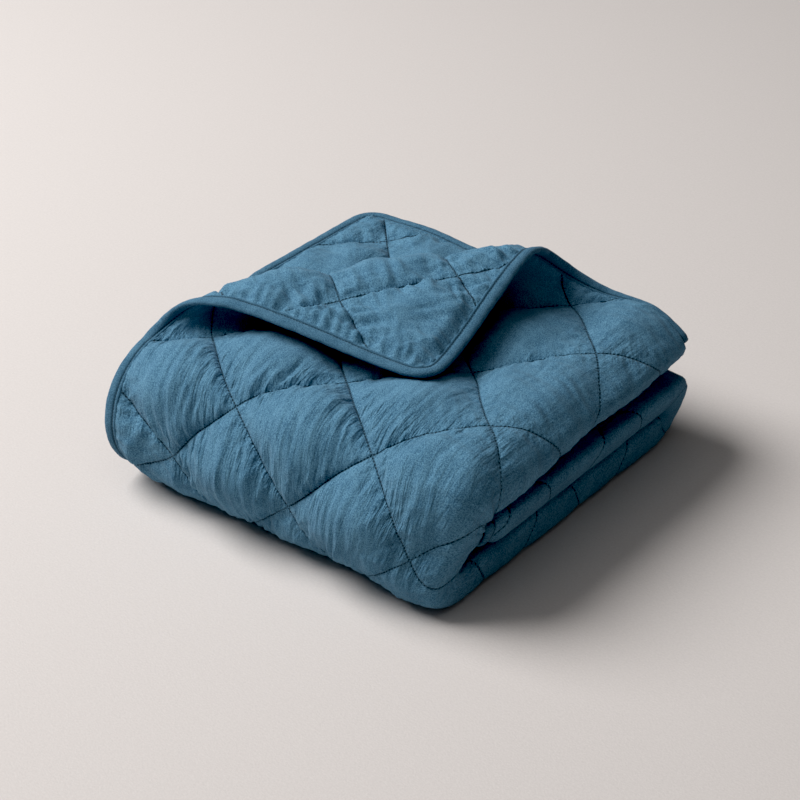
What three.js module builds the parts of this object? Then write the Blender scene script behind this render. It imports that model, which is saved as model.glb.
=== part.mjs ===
// A quilted duvet, folded: doubled once across its width, then folded in three along its length,
// with the free corner of its top ply turned back. One filled, quilted panel carries a bound edge
// all round.
//
// A place on the flat duvet is u, v: u runs across the width from the first fold, positive on the
// ply that ends up outside, and v runs along the length from the hem that lies on top. w is the
// height over the middle of the ply, positive towards the face side. place(u, v, w) folds it up.
import * as THREE from "three";

// The flat duvet, in millimetres
const HALF_WIDTH = 500;
const BINDING_WIDTH = 14;
const BINDING_HALF_THICKNESS = 4.6;
const BINDING_GAP = 0.3;
const CORNER_RADIUS = 34;
const QUILT_DIAGONAL = 190;
const QUILT_CROSSING = { u: QUILT_DIAGONAL / 4, v: 146 };
// The seams draw the ply thin. On top they sink; low on the front bend and round the rolls they fill out.
const SEAM_FACE_HEIGHT = { top: -6, flap: 3.5, low: 12.5 };
const SEAM_BACK_DEPTH = { top: 11, elsewhere: 2.5 };
const SEAM_FILLING = { from: 0.42, run: 0.45 };
const ROLL_SEAM_HEIGHT = { outer: 10, inner: { top: 15, low: 12 } };
const ROLL_REACH = 150;
const ROLL_FADE = 110;
const RIM_HALF_THICKNESS = 3.2;
const RIM_TAPER = 34;
const PUFF_POWER = 0.7;

// The folded stack: three layers of two plies each. Pitch is the distance between the two plies
// of a layer.
const LOW_PITCH = 25.6;
const TOP_PITCH = 46;
const LAYER_GAP = 3;
const FRONT_Y = -266;
const BACK_Y = 274;
const TOP_HEM_Y = 207;
const INNER_END_Y = -158;
const FRONT_GATHER = 1.08;

// The rolls of the first fold. The top one's outer side slopes up from its rounded nose to a knee, which
// lies further in towards the back hem.
const ROLL_X = 250;
const ROLL_CROWN = 14;
const ROLL_SHOULDER = { width: 20, back: 42, run: 260, fade: 0.5 };
const ROLL_KNEE = { at: 0.5, rounding: 0.22, nose: 0.28 };
const ROLL_SQUARENESS = 0.13;
const ROLL_TUCK = 5;

// How far each side of a ply swells over its middle
const CROWNS = {
  top: { face: { outer: 18.5, inner: 17 }, back: { outer: 16, inner: 16 } },
  low: { face: { outer: 14.5, inner: 13 }, back: { outer: 12.2, inner: 12.2 } },
};

// The turned-back corner: its fold line runs from the left hem to the back hem, tight at the left
const FLAP = {
  leftY: -152,
  backX: 67,
  leftRadius: 19,
  backRadius: 39.5,
  overrun: 0.3,
  restHeight: 22.6,
  settleRun: 170,
  faceCrown: 6.5,
  backCrown: 11,
};

// How the soft stack lies: the upper layers lean, the lower ones are narrower, and the ends sag.
// The upper ply of the top layer holds itself up over the rolls.
const LEAN = { right: 18.5, left: 5, y: 14.7, from: 20 };
const LOW_TAPER = { left: 0.06, right: 0.048 };
const SAG = {
  right: { share: 0.1, from: 90, run: 160 },
  left: { share: 0.065, from: 150, run: 100 },
};
const UPPER_PLY_HOLD = { share: 0.5, turn: 1.4 };

// The lower ply of the top layer reaches past the upper one and rises where the corner is turned back
const LOWER_PLY = { x: -18, y: 65, fade: 0.2 };
const LOWER_PLY_RISE = { z: 32, run: 110, from: 40, width: 290 };

// The upper ply's hem: pulled back, drooping and drawn in towards the rolls
const HEM_PULL = { y: 33, from: 40, run: 150, depth: 220 };
const HEM_DROOP = { z: 6, from: 140, run: 90, depth: 100 };
const HEM_NARROWING = { x: 8, depth: 110, reach: 110 };

// How far the seams are drawn aside in the cloth: across on the top, along on the top and the front
const SEAM_DRIFT = {
  across: { all: 6, roll: 10, reach: 140, fade: 160 },
  along: { right: -12, left: 20, from: 100, run: 250, most: 8, fade: 150 },
  front: { v: 14, from: 340, run: 160 },
  edge: 60,
  roll: { from: -60, run: 100 },
};

// The front bend: drawn in towards the rolls, fuller low down, rounded off at the rolls' end
const FRONT_DRAW = { x: 38, turn: 0.6, edge: 80 };
const FRONT_BULGE = { left: -1, right: 18, from: 90, run: 150 };
const FRONT_ROUNDING = { x: -6, y: 32, reach: 110 };

const { PI, abs, cos, hypot, max, min, sign, sin, sqrt } = Math;
const HALF_PI = PI / 2;
const clamp = (t, low, high) => min(max(t, low), high);
const mix = (a, b, t) => a + (b - a) * t;
function ease(t) {
  const k = clamp(t, 0, 1);
  return k * k * (3 - 2 * k);
}

// The fold path through the middle of each layer: top, front bend, bottom, back bend, middle
const BOTTOM_Z = LOW_PITCH;
const MIDDLE_Z = 3 * LOW_PITCH + LAYER_GAP;
const TOP_Z = 4 * LOW_PITCH + 2 * LAYER_GAP + TOP_PITCH;
const FRONT_RADIUS = (TOP_Z - BOTTOM_Z) / 2;
const BACK_RADIUS = (MIDDLE_Z - BOTTOM_Z) / 2;
const FRONT_BEND_Y = FRONT_Y + FRONT_RADIUS + (TOP_PITCH + LOW_PITCH) / 2;
const BACK_BEND_Y = BACK_Y - BACK_RADIUS - LOW_PITCH;
const FRONT_QUADRATIC = (FRONT_GATHER * (LOW_PITCH - TOP_PITCH)) / (4 * PI);
const FRONT_LINEAR = FRONT_GATHER * (FRONT_RADIUS + TOP_PITCH / 2);
const BACK_LINEAR = BACK_RADIUS + LOW_PITCH / 2;
const FRONT_START = TOP_HEM_Y - FRONT_BEND_Y;
const FRONT_END = FRONT_START + FRONT_QUADRATIC * PI ** 2 + FRONT_LINEAR * PI;
const BACK_START = FRONT_END + BACK_BEND_Y - FRONT_BEND_Y;
const BACK_END = BACK_START + BACK_LINEAR * PI;
const LENGTH = BACK_END + BACK_BEND_Y - INNER_END_Y;

// Where the layer's middle is at v, how far it has turned, and its pitch there
function layerAt(v) {
  const frontRun = clamp(v - FRONT_START, 0, FRONT_END - FRONT_START);
  const root = sqrt(FRONT_LINEAR ** 2 + 4 * FRONT_QUADRATIC * frontRun);
  const front = min((root - FRONT_LINEAR) / (2 * FRONT_QUADRATIC), PI);
  const back = clamp(v - BACK_START, 0, BACK_END - BACK_START) / BACK_LINEAR;
  let y = FRONT_BEND_Y - FRONT_RADIUS * sin(front);
  let z = BOTTOM_Z + FRONT_RADIUS * (1 + cos(front));
  if (v < FRONT_START) y = TOP_HEM_Y - v;
  if (v >= FRONT_END) {
    y = FRONT_BEND_Y + v - FRONT_END;
    z = BOTTOM_Z;
  }
  if (v >= BACK_START) {
    y = BACK_BEND_Y + BACK_RADIUS * sin(back);
    z = BOTTOM_Z + BACK_RADIUS * (1 - cos(back));
  }
  if (v >= BACK_END) y = BACK_BEND_Y - (v - BACK_END);
  return { y, z, turn: front + back, front, pitch: mix(TOP_PITCH, LOW_PITCH, front / PI) };
}

// The fold line of the turned-back corner, on the top ply laid flat
const TOP_ROLL = TOP_PITCH / 2;
const LEFT_X = ROLL_X - TOP_ROLL - ROLL_CROWN - (HALF_WIDTH - HALF_PI * TOP_ROLL);
const FLAP_LENGTH = hypot(FLAP.backX - LEFT_X, TOP_HEM_Y - FLAP.leftY);
const FLAP_ALONG = {
  x: (FLAP.backX - LEFT_X) / FLAP_LENGTH,
  y: (TOP_HEM_Y - FLAP.leftY) / FLAP_LENGTH,
};
const FLAP_OUT = { x: -FLAP_ALONG.y, y: FLAP_ALONG.x };

// How far a place x, y on the flat top ply is out beyond the fold line
const beyondFold = (x, y) => (x - LEFT_X) * FLAP_OUT.x + (y - FLAP.leftY) * FLAP_OUT.y;

// How a place x, y on the flat top ply moves and turns with the corner
function flapAt(x, y) {
  const along = (x - LEFT_X) * FLAP_ALONG.x + (y - FLAP.leftY) * FLAP_ALONG.y;
  const out = beyondFold(x, y);
  const share = clamp(along / FLAP_LENGTH, -FLAP.overrun, 1 + FLAP.overrun);
  const radius = mix(FLAP.leftRadius, FLAP.backRadius, share);
  const run = out + HALF_PI * radius;
  if (run <= 0) return { turn: 0, shift: 0, lift: 0 };
  const turn = min(run / radius, PI);
  const past = max(run - PI * radius, 0);
  const shift = radius * sin(turn) - past - HALF_PI * radius - out;
  const settle = (FLAP.restHeight - 2 * radius) * ease(past / FLAP.settleRun);
  return { turn, shift, lift: radius * (1 - cos(turn)) + settle };
}

// The soft stack's lean, taper and sag, and its flat underside
function settled(x, y, z, upper) {
  const high = ease((z - LEAN.from) / (TOP_Z - LEAN.from));
  const toRight = clamp(0.5 + x / (2 * ROLL_X), 0, 1);
  const lean = mix(LEAN.left, LEAN.right, toRight);
  const taper = mix(LOW_TAPER.left, LOW_TAPER.right, toRight);
  const right = SAG.right.share * ease((x - SAG.right.from) / SAG.right.run) * (1 - upper);
  const left = SAG.left.share * ease((-x - SAG.left.from) / SAG.left.run);
  const height = max(z, 0) * (1 - right - left);
  return new THREE.Vector3(x * (1 - taper * (1 - high)) + lean * high, y + LEAN.y * high, height);
}

// How a folded place moves with the soft cloth round it: at the hem, the lower ply and the front bend
function softened(x, y, z, { u, v, middleX, turn, under }) {
  const hem = 1 - under;
  const backShare = max(1 - v / FRONT_START, 0);
  const pull = ease((middleX - HEM_PULL.from) / HEM_PULL.run) * ease(1 - v / HEM_PULL.depth);
  const droop = ease((middleX - HEM_DROOP.from) / HEM_DROOP.run) * ease(1 - v / HEM_DROOP.depth);
  const narrowing = ease(1 - v / HEM_NARROWING.depth) * ease(1 - abs(u) / HEM_NARROWING.reach);
  const uncovered = ease(beyondFold(middleX, TOP_HEM_Y - v) / LOWER_PLY_RISE.run) * under;
  const rise = uncovered * clamp((LOWER_PLY_RISE.from - middleX) / LOWER_PLY_RISE.width, 0, 1);
  const fromRolls = clamp((ROLL_X - middleX) / HALF_WIDTH, 0, 1);
  const fromEdge = ease((HALF_WIDTH - abs(u)) / FRONT_DRAW.edge);
  const drawn = fromRolls * fromEdge * ease(turn / (FRONT_DRAW.turn * PI));
  const bulge = sin(2 * clamp(turn - HALF_PI, 0, HALF_PI));
  const bulgeShare = ease((middleX - FRONT_BULGE.from) / FRONT_BULGE.run);
  const fuller = mix(FRONT_BULGE.left, FRONT_BULGE.right, bulgeShare);
  const rounding = sin(clamp(turn, 0, PI)) ** 2 * ease(1 - abs(u) / FRONT_ROUNDING.reach);
  return settled(
    x +
      LOWER_PLY.x * under * ease(2 * backShare) -
      HEM_NARROWING.x * narrowing +
      FRONT_DRAW.x * drawn +
      FRONT_ROUNDING.x * rounding,
    y +
      LOWER_PLY.y * under * backShare +
      HEM_PULL.y * pull * hem -
      fuller * bulge +
      FRONT_ROUNDING.y * rounding,
    z + LOWER_PLY_RISE.z * rise - HEM_DROOP.z * droop * hem,
    UPPER_PLY_HOLD.share * hem * ease(1 - turn / (UPPER_PLY_HOLD.turn * PI)),
  );
}

// How far t is past a corner, with the corner rounded
function softCorner(t, at, rounding) {
  const past = t - at;
  return abs(past) < rounding ? (past + rounding) ** 2 / (4 * rounding) : max(past, 0);
}

// The top roll's outer side from its nose, t 0, over its knee to the flat, t 1, as shares of its two sizes
function kneedSide(t, breadth) {
  const slope = hypot(1 - ROLL_KNEE.at, 1 / breadth);
  const knee = slope / (slope + ROLL_KNEE.at);
  const nose = ROLL_KNEE.nose / 2;
  const fromNose = softCorner(t, nose, nose) / (1 - nose);
  const pastKnee = softCorner(fromNose, knee, ROLL_KNEE.rounding);
  return {
    x: 1 - ((1 - ROLL_KNEE.at) * (fromNose - pastKnee)) / knee - (ROLL_KNEE.at * pastKnee) / (1 - knee),
    z: (t - softCorner(t, knee, ROLL_KNEE.rounding)) / knee,
  };
}

function place(u, v, w) {
  const layer = layerAt(v);
  const roll = layer.pitch / 2;
  const low = layer.front / PI;
  const kneed = u > 0 ? 1 - ease(low / ROLL_SHOULDER.fade) : 0;
  const shoulder = kneed * mix(ROLL_SHOULDER.width, ROLL_SHOULDER.back, ease(1 - v / ROLL_SHOULDER.run));
  const rollWidth = roll + HALF_PI * shoulder;
  const around = clamp(u / (roll + shoulder), -HALF_PI, HALF_PI);
  const square = 1 + ROLL_SQUARENESS * sin(2 * around) ** 2;
  const side = kneedSide(around / HALF_PI, (rollWidth + ROLL_CROWN) / (roll + ROLL_CROWN));
  const sideX = mix(square * cos(around), side.x, kneed);
  const flat = max(abs(u) - HALF_PI * roll, 0);
  const middleX = ROLL_X - roll - ROLL_CROWN - flat;
  const tuck = 1 - ROLL_TUCK / (rollWidth + ROLL_CROWN);
  let x = min(middleX, ROLL_X - ROLL_CROWN - rollWidth) + (rollWidth + w) * tuck * sideX;
  let out = (roll + w) * mix(square * sin(around), side.z, kneed);
  let backward = 0;
  if (around === HALF_PI && v < FRONT_END) {
    const flap = flapAt(middleX, TOP_HEM_Y - v);
    const reach = flap.shift - w * sin(flap.turn);
    x = middleX + reach * FLAP_OUT.x;
    backward = reach * FLAP_OUT.y;
    out = roll + flap.lift + w * cos(flap.turn);
  }
  const y = layer.y - sin(layer.turn) * out + cos(layer.turn) * backward;
  const z = layer.z + cos(layer.turn) * out + sin(layer.turn) * backward;
  const under = ease((LOWER_PLY.fade - sin(around)) / (1 + LOWER_PLY.fade));
  return softened(x, y, z, { u, v, middleX, turn: layer.turn, under });
}

// The panel, without its binding, and its rounded corners
const PANEL_U = HALF_WIDTH - BINDING_WIDTH;
const PANEL_V = { start: BINDING_WIDTH, end: LENGTH - BINDING_WIDTH };
const PANEL_CORNER = CORNER_RADIUS - BINDING_WIDTH;

// A place of the panel's square grid drawn in to the rounded outline, and the way out of the panel there
function rounded(u, v) {
  const top = v < (PANEL_V.start + PANEL_V.end) / 2;
  const centreU = PANEL_U - PANEL_CORNER;
  const centreV = top ? PANEL_V.start + PANEL_CORNER : PANEL_V.end - PANEL_CORNER;
  const a = (abs(u) - centreU) / PANEL_CORNER;
  const b = ((top ? -1 : 1) * (v - centreV)) / PANEL_CORNER;
  if (a <= 0 || b <= 0) {
    const onSide = PANEL_U - abs(u) < min(v - PANEL_V.start, PANEL_V.end - v);
    return { u, v, outU: onSide ? sign(u) : 0, outV: onSide ? 0 : top ? -1 : 1 };
  }
  const discA = a * sqrt(1 - (b * b) / 2);
  const discB = b * sqrt(1 - (a * a) / 2);
  const reach = hypot(discA, discB);
  return {
    u: sign(u) * (centreU + discA * PANEL_CORNER),
    v: centreV + (top ? -1 : 1) * discB * PANEL_CORNER,
    outU: (sign(u) * discA) / reach,
    outV: ((top ? -1 : 1) * discB) / reach,
  };
}

// How near u, v is to a seam of either direction, from 0 on it to 1 midway between two
function seamWaves(u, v) {
  const across = u - QUILT_CROSSING.u;
  const along = v - QUILT_CROSSING.v;
  return {
    falling: abs(sin((PI * (across + along)) / QUILT_DIAGONAL)),
    rising: abs(sin((PI * (across - along)) / QUILT_DIAGONAL)),
  };
}

const rimDistance = (u, v) => min(PANEL_U - abs(u), v - PANEL_V.start, PANEL_V.end - v);

// Where u, v comes to lie in the cloth when the seams are drawn aside
function drifted(u, v) {
  const { across, along, front, roll } = SEAM_DRIFT;
  const outer = ease((u - roll.from) / roll.run) * ease(rimDistance(u, v) / SEAM_DRIFT.edge);
  const top = ease((FRONT_START + across.fade - v) / across.fade);
  const left = along.left * ease((u - along.from) / along.run);
  const lower = front.v * ease((v - front.from) / front.run);
  const shown = ease((FRONT_END - v) / along.fade);
  return {
    u: u + outer * top * (across.all + across.roll * ease(1 - u / across.reach)),
    v: v + outer * shown * min(along.right + left + lower, along.most),
  };
}

// How far the ply swells at u, v on its face or its back: least on a seam, full in a square's middle
function swell(u, v, face) {
  const { falling, rising } = seamWaves(u, v);
  const layer = layerAt(v);
  const roll = layer.pitch / 2;
  const low = layer.front / PI;
  const outerShare = ease(0.5 + u / (PI * roll));
  const crownOf = ({ inner, outer }) => mix(inner, outer, outerShare);
  const side = face ? "face" : "back";
  let crown = mix(crownOf(CROWNS.top[side]), crownOf(CROWNS.low[side]), low);
  let sunk = outerShare;
  if (u > HALF_PI * roll && v < FRONT_END) {
    const middleX = ROLL_X - roll - ROLL_CROWN - (u - HALF_PI * roll);
    const flapShare = flapAt(middleX, TOP_HEM_Y - v).turn / PI;
    crown = mix(crown, face ? FLAP.faceCrown : FLAP.backCrown, flapShare);
    sunk *= 1 - flapShare;
  }
  const rolled = face ? ease((ROLL_REACH - abs(u)) / ROLL_FADE) : 0;
  const { inner, outer } = ROLL_SEAM_HEIGHT;
  const rollSeam = mix(mix(inner.top, inner.low, low), outer, outerShare);
  const filling = ease((low - SEAM_FILLING.from) / SEAM_FILLING.run);
  const topSeam = mix(SEAM_FACE_HEIGHT.flap, SEAM_FACE_HEIGHT.top, sunk);
  const faceSeam = mix(topSeam, SEAM_FACE_HEIGHT.low, filling);
  const backSeam = mix(SEAM_BACK_DEPTH.elsewhere, SEAM_BACK_DEPTH.top, sunk * (1 - low));
  const seam = mix(face ? faceSeam : backSeam, rollSeam, rolled);
  const full = mix(seam, crown, (falling * rising) ** PUFF_POWER);
  const limit = face ? mix(crown, roll, ease(low)) : crown;
  return mix(RIM_HALF_THICKNESS, min(full, limit), ease(rimDistance(u, v) / RIM_TAPER));
}

// The grid follows the quilting: whole cells are a quarter of a square's diagonal, and each splits where
// the cloth bends, in steps of an eighth of a cell
const CELL = QUILT_DIAGONAL / 4;
const STEPS = 8;
const SPLIT = { hidden: 1, shown: 2, bend: 4, roll: 8 };
const columnEdges = cellEdges(0, PANEL_U, 0);
const rowEdges = cellEdges(PANEL_V.start, PANEL_V.end, QUILT_CROSSING.v % CELL);

function cellEdges(start, end, offset) {
  const edges = [start];
  for (let at = offset + CELL; at < end; at += CELL) if (at - start > CELL / 4) edges.push(at);
  edges.push(end);
  return edges;
}

function lineAt(edges, step) {
  const cell = min(Math.floor(step / STEPS), edges.length - 2);
  return mix(edges[cell], edges[cell + 1], step / STEPS - cell);
}
const columns = columnEdges.length - 1;
const rows = rowEdges.length - 1;
const gridPlace = (i, j) => rounded(sign(i) * lineAt(columnEdges, abs(i)), lineAt(rowEdges, j));

// How many parts a cell splits into across and along
function splits(column, row) {
  const outer = column >= 0;
  const ring = outer ? column : -1 - column;
  const from = rowEdges[row];
  const to = rowEdges[row + 1];
  const frontBend = to > FRONT_START && from < FRONT_END;
  const backBend = to > BACK_START && from < BACK_END;
  const corner = ring === columns - 1 && (row === 0 || row === rows - 1);
  const shown = from < FRONT_END;
  let across = shown && outer ? SPLIT.shown : SPLIT.hidden;
  let along = frontBend ? SPLIT.shown : across;
  if (backBend) along = SPLIT.bend;
  if (corner) across = along = SPLIT.bend;
  if (ring === 1 && outer && shown) across = SPLIT.bend;
  if (ring === 0) across = shown && !outer ? SPLIT.bend : SPLIT.roll;
  if (outer && ring > 0 && shown) {
    const middleU = (columnEdges[ring] + columnEdges[ring + 1]) / 2;
    const x = ROLL_X - TOP_ROLL - ROLL_CROWN - (middleU - HALF_PI * TOP_ROLL);
    const { turn } = flapAt(x, TOP_HEM_Y - (from + to) / 2);
    if (turn > 0 && turn < PI) across = along = SPLIT.bend;
  }
  return { across, along };
}

// Each split cell as a rectangle of grid lines
function splitCells() {
  const cells = [];
  for (let column = -columns; column < columns; column++)
    for (let row = 0; row < rows; row++) {
      const { across, along } = splits(column, row);
      const width = STEPS / across;
      const height = STEPS / along;
      for (let a = 0; a < across; a++)
        for (let b = 0; b < along; b++) {
          const left = column * STEPS + a * width;
          const low = row * STEPS + b * height;
          cells.push({ left, low, right: left + width, high: low + height });
        }
    }
  return cells;
}
const cells = splitCells();
const corners = new Set();
for (const { left, low, right, high } of cells)
  for (const i of [left, right]) for (const j of [low, high]) corners.add(i + " " + j);

// The grid corners along a rectangle's outline, in order, with those of its smaller neighbours
function outline({ left, low, right, high }) {
  const points = [];
  const visit = (i, j) => corners.has(i + " " + j) && points.push([i, j]);
  for (let i = left; i < right; i++) visit(i, low);
  for (let j = low; j < high; j++) visit(right, j);
  for (let i = right; i > left; i--) visit(i, high);
  for (let j = high; j > low; j--) visit(left, j);
  return points;
}

function solidFrom(positions, triangles) {
  const geometry = new THREE.BufferGeometry();
  geometry.setAttribute("position", new THREE.Float32BufferAttribute(positions, 3));
  geometry.setIndex(triangles);
  geometry.computeVertexNormals();
  return geometry;
}

// The panel: its face and its back over the same cells, closed by a narrow wall round the rim
const rim = outline({ left: -columns * STEPS, low: 0, right: columns * STEPS, high: rows * STEPS });

function panelGeometry() {
  const positions = [];
  const triangles = [];
  const known = new Map();
  function vertex(i, j, face) {
    const key = i + " " + j + " " + face;
    if (!known.has(key)) {
      const { u, v } = gridPlace(i, j);
      const height = swell(u, v, face);
      const drawn = drifted(u, v);
      known.set(key, positions.length / 3);
      positions.push(...place(drawn.u, drawn.v, face ? height : -height).toArray());
    }
    return known.get(key);
  }
  for (const cell of cells) {
    const around = outline(cell);
    for (const face of [true, false]) {
      const ring = around.map(([i, j]) => vertex(i, j, face));
      if (!face) ring.reverse();
      if (ring.length === 4) {
        const [i, j] = [(cell.left + cell.right) / 2, (cell.low + cell.high) / 2];
        const { u, v } = gridPlace(i, j);
        const { falling, rising } = seamWaves(u, v);
        const [a, b, c, d] = ring;
        if (falling < rising === face) triangles.push(a, b, d, b, c, d);
        else triangles.push(a, b, c, a, c, d);
      } else {
        const middle = vertex((cell.left + cell.right) / 2, (cell.low + cell.high) / 2, face);
        ring.forEach((corner, k) => triangles.push(corner, ring[(k + 1) % ring.length], middle));
      }
    }
  }
  rim.forEach(([i, j], k) => {
    const [nextI, nextJ] = rim[(k + 1) % rim.length];
    const [face, nextFace] = [vertex(i, j, true), vertex(nextI, nextJ, true)];
    const [back, nextBack] = [vertex(i, j, false), vertex(nextI, nextJ, false)];
    triangles.push(nextFace, face, nextBack, face, back, nextBack);
  });
  return solidFrom(positions, triangles);
}

// The binding: a folded strip sewn round the rim, with a flat inner side and a round outer one
const BINDING_SECTION = [
  { out: BINDING_GAP, height: -RIM_HALF_THICKNESS },
  { out: 6, height: -BINDING_HALF_THICKNESS },
  { out: 12, height: -3 },
  { out: BINDING_WIDTH, height: 0 },
  { out: 12, height: 3 },
  { out: 6, height: BINDING_HALF_THICKNESS },
  { out: BINDING_GAP, height: RIM_HALF_THICKNESS },
];

function bindingGeometry() {
  const positions = [];
  const triangles = [];
  const sides = BINDING_SECTION.length;
  rim.forEach(([i, j], k) => {
    const { u, v, outU, outV } = gridPlace(i, j);
    const here = k * sides;
    const next = ((k + 1) % rim.length) * sides;
    BINDING_SECTION.forEach(({ out, height }, a) => {
      const b = (a + 1) % sides;
      positions.push(...place(u + out * outU, v + out * outV, height).toArray());
      triangles.push(here + a, next + a, next + b, here + a, next + b, here + b);
    });
  });
  return solidFrom(positions, triangles);
}

const cloth = new THREE.MeshStandardMaterial({ color: 0x4a7394, roughness: 0.92, metalness: 0 });
const tape = new THREE.MeshStandardMaterial({ color: 0x426a8b, roughness: 0.9, metalness: 0 });

const panel = new THREE.Mesh(panelGeometry(), cloth);
panel.name = "quilted_panel";
const binding = new THREE.Mesh(bindingGeometry(), tape);
binding.name = "edge_binding";

// The duvet stands with the middle of its underside at the origin
const duvet = new THREE.Group();
duvet.add(panel, binding);
const box = new THREE.Box3().setFromObject(duvet);
const middle = box.getCenter(new THREE.Vector3());
duvet.position.set(-middle.x, -middle.y, -box.min.z);

export default duvet;
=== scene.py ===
"""A quilted duvet, doubled and folded in three, one top corner turned back, on a pale floor."""

import bpy
import numpy as np
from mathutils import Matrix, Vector


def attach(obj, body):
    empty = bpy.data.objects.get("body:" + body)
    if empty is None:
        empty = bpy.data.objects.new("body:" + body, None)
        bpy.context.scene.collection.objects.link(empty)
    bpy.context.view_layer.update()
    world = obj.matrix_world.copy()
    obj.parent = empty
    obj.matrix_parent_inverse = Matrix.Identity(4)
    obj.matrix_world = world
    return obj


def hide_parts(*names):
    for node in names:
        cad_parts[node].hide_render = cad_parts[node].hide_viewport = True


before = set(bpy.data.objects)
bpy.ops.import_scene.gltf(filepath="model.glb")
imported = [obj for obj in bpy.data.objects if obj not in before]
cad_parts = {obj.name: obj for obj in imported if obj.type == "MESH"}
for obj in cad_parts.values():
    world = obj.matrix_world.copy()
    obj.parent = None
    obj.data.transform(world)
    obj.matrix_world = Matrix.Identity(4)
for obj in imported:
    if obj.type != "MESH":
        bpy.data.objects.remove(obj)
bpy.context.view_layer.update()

# The quilted panel: two brushed cloths with filling between them, sewn through in diamonds.
# A place on it is u, v in millimetres: u across the width from the first fold, positive on the
# ply that ends up outside, v along the length from the hem on top. w is the height over the ply.
MM, METRE = 0.001, 1000.0  # a millimetre in metres, a metre in millimetres
HALF_WIDTH = 500.0
BINDING_WIDTH = 14.0
CORNER_RADIUS = 34.0
QUILT_DIAGONAL = 190.0
SQUARE = QUILT_DIAGONAL / np.sqrt(2)
CROSSING_U, CROSSING_V = QUILT_DIAGONAL / 4, 146.0
SEAM_HALF_THICKNESS = {"top": -6.0, "low": 12.5, "flap": 3.5, "back": 0.0, "back_of_top": 11.0}
ROLL_SEAM_HALF_THICKNESS = {"outer": 10.0, "inner": {"top": 15.0, "low": 12.0}}
ROLL_REACH, ROLL_FADE = 150.0, 110.0
LOW_SEAM_FROM, LOW_SEAM_RUN = 0.42, 0.45
RIM_HALF_THICKNESS = 3.2
RIM_TAPER = 15.0
PUFF_POWER, REVERSE_PUFF_POWER = 0.65, 0.48

# The folding: a ply's pitch in the lower layers and in the top one, where the layers bend and end,
# the rolls' shape and the crowns of the squares, on the outer and the inner ply
LOW_PITCH, TOP_PITCH, LAYER_GAP = 25.6, 46.0, 3.0
FRONT_GATHER = 1.08
FRONT_Y, BACK_Y, TOP_HEM_Y, INNER_END_Y = -266.0, 274.0, 207.0, -158.0
ROLL_X, ROLL_CROWN = 250.0, 14.0
ROLL_SHOULDER, ROLL_SHOULDER_BACK, ROLL_SHOULDER_RUN = 20.0, 42.0, 260.0
ROLL_SQUARENESS, ROLL_TUCK = 0.13, 5.0
ROLL_KNEE, ROLL_KNEE_ROUNDING, ROLL_NOSE_ROUNDING = 0.5, 0.22, 0.28
ROLL_KNEE_FADE = 0.5
FRONT_ROLL_DRAW = 6.0
CROWNS = {
    "top": {"face": (18.5, 17.0), "back": (16.0, 16.0)},
    "low": {"face": (14.5, 13.0), "back": (12.2, 12.2)},
}
# The turned-back corner: the ends of its fold line, the bend over it and how it comes to rest
FLAP_LEFT_Y, FLAP_BACK_X = -152.0, 67.0
FLAP_LEFT_RADIUS, FLAP_BACK_RADIUS, FLAP_OVERRUN = 19.0, 39.5, 0.3
FLAP_REST_HEIGHT, FLAP_SETTLE_RUN = 22.6, 170.0
FLAP_FACE_CROWN, FLAP_BACK_CROWN = 6.5, 15.0
# How the stack leans and sags, how the second ply shows behind, and how edges droop and draw in
LEAN_X, LEAN_Y, LEAN_FROM = 18.5, 14.7, 20.0
SAG_RIGHT, SAG_RIGHT_FROM, SAG_RIGHT_RUN = 0.1, 90.0, 160.0
SAG_LEFT, SAG_LEFT_FROM, SAG_LEFT_RUN = 0.065, 150.0, 100.0
UPPER_PLY_RELIEF, UPPER_PLY_RUN = 0.5, 1.4
UNDER_PLY_X, UNDER_PLY_Y, UNDER_PLY_FADE = -18.0, 65.0, 0.2
UNDER_PLY_RISE, UNDER_PLY_RISE_RUN = 32.0, 110.0
UNDER_PLY_RISE_FROM, UNDER_PLY_RISE_WIDTH = 40.0, 290.0
HEM_DROOP, HEM_DROOP_DEPTH, HEM_DROOP_FROM, HEM_DROOP_RUN = 6.0, 100.0, 140.0, 90.0
LOW_LAYER_DRAW, LOW_TAPER_LEFT, LOW_TAPER_RIGHT, LEAN_LEFT = 38.0, 0.06, 0.048, 5.0
LOW_DRAW_TURN, LOW_DRAW_RIM = 0.6, 80.0
FRONT_END_RECEDE, FRONT_END_RUN = 32.0, 110.0
FRONT_BULGE_LEFT, FRONT_BULGE_RIGHT, FRONT_BULGE_FROM, FRONT_BULGE_RUN = -1.0, 18.0, 90.0, 150.0
HEM_NARROW, HEM_NARROW_DEPTH, HEM_NARROW_REACH = 8.0, 110.0, 110.0
HEM_PULL, HEM_PULL_FROM, HEM_PULL_RUN, HEM_PULL_DEPTH = 33.0, 40.0, 150.0, 220.0
FRAME_SHIFT = np.array((-0.481, -14.693, 0.0))

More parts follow.
